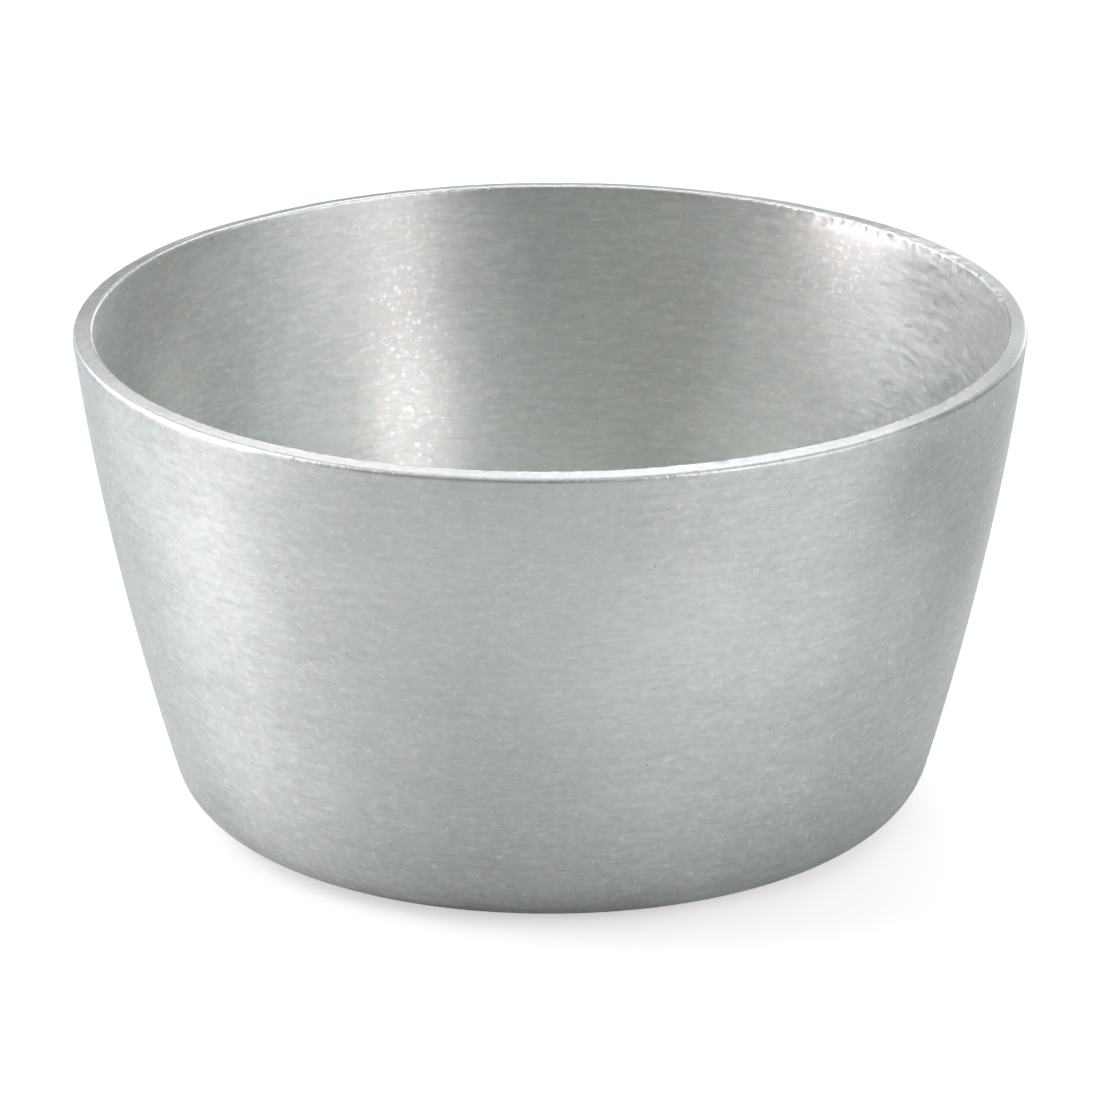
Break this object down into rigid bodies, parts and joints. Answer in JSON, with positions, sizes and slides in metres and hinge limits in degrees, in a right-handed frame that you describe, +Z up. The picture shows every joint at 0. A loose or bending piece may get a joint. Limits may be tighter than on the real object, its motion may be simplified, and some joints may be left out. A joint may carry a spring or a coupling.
{
  "type": "pudding mould",
  "caption": "Small aluminium pudding mould: a round cup with a flat base, a rounded foot and a bowed wall that flares up to a plain square-cut rim, brushed in rings inside and out.",
  "frame": {"origin": "centre of the underside of the flat base", "axes": "+Z up along the cup's axis, out of its mouth; X and Y are any two directions across it"},
  "size_m": [0.0848, 0.0848, 0.045],
  "materials": {
    "brushed_sheet": "satin, brushed in rings inside and out, rim cut square and smoothed"
  },
  "bodies": {
    "root": {"mould_cup": "brushed_sheet"}
  },
  "joints": []
}
